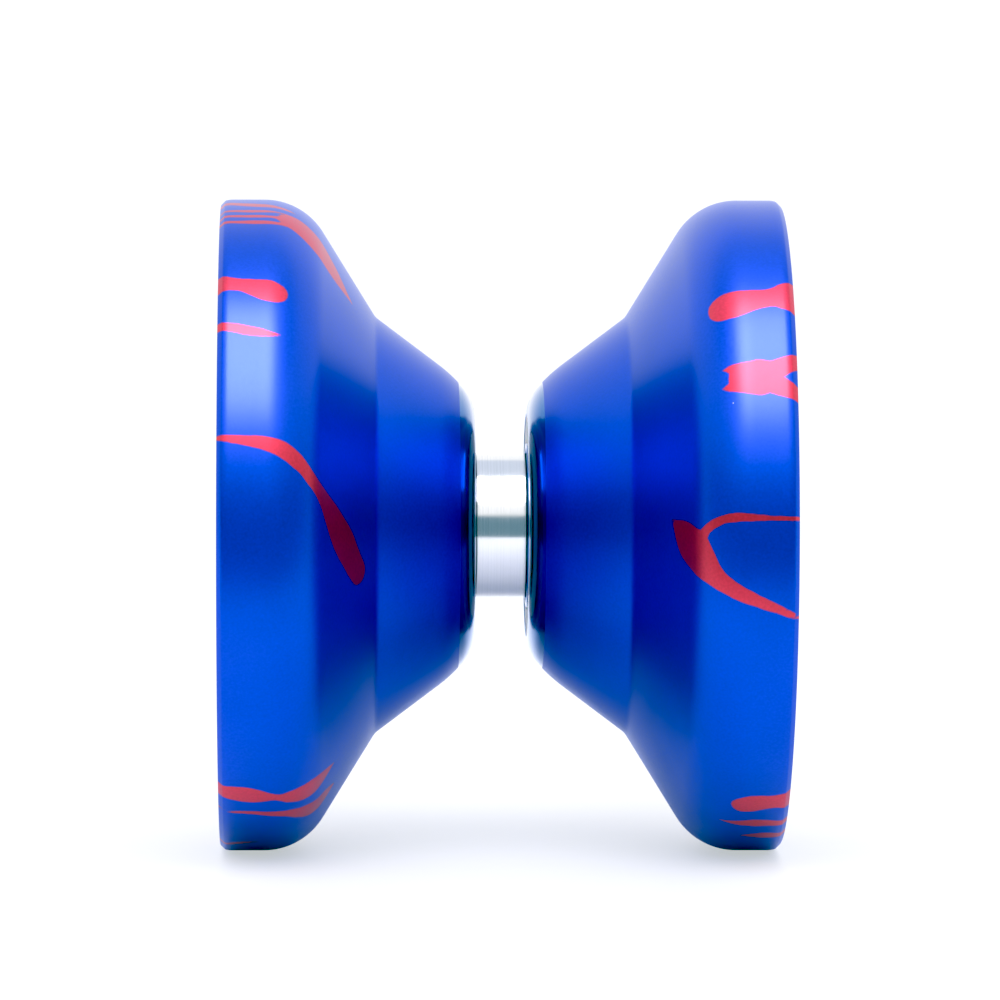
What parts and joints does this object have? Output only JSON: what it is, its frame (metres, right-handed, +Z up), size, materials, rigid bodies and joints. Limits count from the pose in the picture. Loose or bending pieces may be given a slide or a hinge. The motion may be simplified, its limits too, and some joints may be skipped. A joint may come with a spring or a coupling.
{
  "type": "yo-yo",
  "caption": "Wide metal yo-yo with a ball bearing on its axle, flared halves, soft response pads and open cups in its sides.",
  "frame": {"origin": "middle of the string gap, on the axle's axis", "axes": "+X along the axle towards the right half, +Z up, +Y away from the viewer; the yo-yo stands on its rims 28.45 mm below the origin"},
  "size_m": [0.0488, 0.0568, 0.0568],
  "materials": {
    "anodised_shell": "bead-blasted blue anodise with pink-red splashes, polished inner lip",
    "silicone": "matt white silicone",
    "bearing_steel": "fine circumferential grinding",
    "axle_steel": "plain turned steel",
    "ball_steel": "polished",
    "cage_brass": "satin",
    "shield_steel": "pressed sheet",
    "spring_steel": "oiled wire"
  },
  "bodies": {
    "yoyo": {"left_half": "anodised_shell", "right_half": "anodised_shell", "left_response_pad": "silicone", "right_response_pad": "silicone", "axle_screw": "axle_steel", "bearing_inner_race": "bearing_steel"},
    "bearing_outer": {"bearing_outer_race": "bearing_steel", "left_bearing_shield": "shield_steel", "right_bearing_shield": "shield_steel", "left_snap_ring": "spring_steel", "right_snap_ring": "spring_steel"},
    "cage": {"bearing_cage": "cage_brass"},
    "ball_1": {"ball_1": "ball_steel"},
    "ball_2": {"ball_2": "ball_steel"},
    "ball_3": {"ball_3": "ball_steel"},
    "ball_4": {"ball_4": "ball_steel"},
    "ball_5": {"ball_5": "ball_steel"},
    "ball_6": {"ball_6": "ball_steel"},
    "ball_7": {"ball_7": "ball_steel"},
    "ball_8": {"ball_8": "ball_steel"}
  },
  "joints": [
    {"name": "outer_race_spin", "type": "hinge", "parent": "yoyo", "child": "bearing_outer", "pos_m": [0, 0, 0], "axis": [1, 0, 0], "continuous": true},
    {"name": "cage_spin", "type": "hinge", "parent": "yoyo", "child": "cage", "pos_m": [0, 0, 0], "axis": [1, 0, 0], "continuous": true},
    {"name": "ball_1_roll", "type": "hinge", "parent": "cage", "child": "ball_1", "pos_m": [0, 0, 0.00476], "axis": [1, 0, 0], "continuous": true},
    {"name": "ball_2_roll", "type": "hinge", "parent": "cage", "child": "ball_2", "pos_m": [0, 0.00337, 0.00337], "axis": [1, 0, 0], "continuous": true},
    {"name": "ball_3_roll", "type": "hinge", "parent": "cage", "child": "ball_3", "pos_m": [0, 0.00476, 0], "axis": [1, 0, 0], "continuous": true},
    {"name": "ball_4_roll", "type": "hinge", "parent": "cage", "child": "ball_4", "pos_m": [0, 0.00337, -0.00337], "axis": [1, 0, 0], "continuous": true},
    {"name": "ball_5_roll", "type": "hinge", "parent": "cage", "child": "ball_5", "pos_m": [0, 0, -0.00476], "axis": [1, 0, 0], "continuous": true},
    {"name": "ball_6_roll", "type": "hinge", "parent": "cage", "child": "ball_6", "pos_m": [0, -0.00337, -0.00337], "axis": [1, 0, 0], "continuous": true},
    {"name": "ball_7_roll", "type": "hinge", "parent": "cage", "child": "ball_7", "pos_m": [0, -0.00476, 0], "axis": [1, 0, 0], "continuous": true},
    {"name": "ball_8_roll", "type": "hinge", "parent": "cage", "child": "ball_8", "pos_m": [0, -0.00337, 0.00337], "axis": [1, 0, 0], "continuous": true}
  ],
  "couplings": [
    {"joint": "cage_spin", "follows": "outer_race_spin", "ratio": 0.58333},
    {"joint": "ball_1_roll", "follows": "outer_race_spin", "ratio": 2.9167},
    {"joint": "ball_2_roll", "follows": "outer_race_spin", "ratio": 2.9167},
    {"joint": "ball_3_roll", "follows": "outer_race_spin", "ratio": 2.9167},
    {"joint": "ball_4_roll", "follows": "outer_race_spin", "ratio": 2.9167},
    {"joint": "ball_5_roll", "follows": "outer_race_spin", "ratio": 2.9167},
    {"joint": "ball_6_roll", "follows": "outer_race_spin", "ratio": 2.9167},
    {"joint": "ball_7_roll", "follows": "outer_race_spin", "ratio": 2.9167},
    {"joint": "ball_8_roll", "follows": "outer_race_spin", "ratio": 2.9167}
  ]
}
